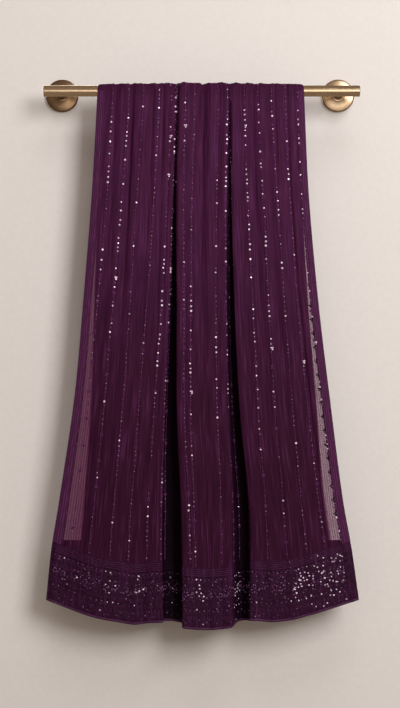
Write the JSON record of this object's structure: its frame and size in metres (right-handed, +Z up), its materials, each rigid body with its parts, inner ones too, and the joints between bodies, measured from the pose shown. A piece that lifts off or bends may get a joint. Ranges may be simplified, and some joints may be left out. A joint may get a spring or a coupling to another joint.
{
  "type": "saree hung over a wall rod",
  "caption": "Purple saree cloth hung over a brass wall rod, with deep vertical folds, sheer side strips, a sequinned border band and a piped hem.",
  "frame": {"origin": "in the wall plane, midway between the backs of the two roses, at the height of the rod's axis", "axes": "+X along the rod to the viewer's right, +Y into the wall, +Z up; the front of the cloth faces -Y"},
  "size_m": [0.688, 0.1062, 1.1999],
  "materials": {
    "cloth": "fine sheer georgette in several layers, with thread lines",
    "border": "dense woven border with sequins",
    "piping": "satin",
    "brass": "satin brushed champagne brass"
  },
  "bodies": {
    "root": {"fall_front": "cloth", "over_rod": "cloth", "fall_back": "cloth", "folded_layers": "cloth", "edge_band_left": "border", "edge_band_right": "border", "border_top_tape": "border", "border_band": "border", "border_foot_band": "border", "hem_piping": "piping", "rod": "brass", "post_left": "brass", "post_right": "brass", "rose_left": "brass", "rose_right": "brass"}
  },
  "joints": []
}
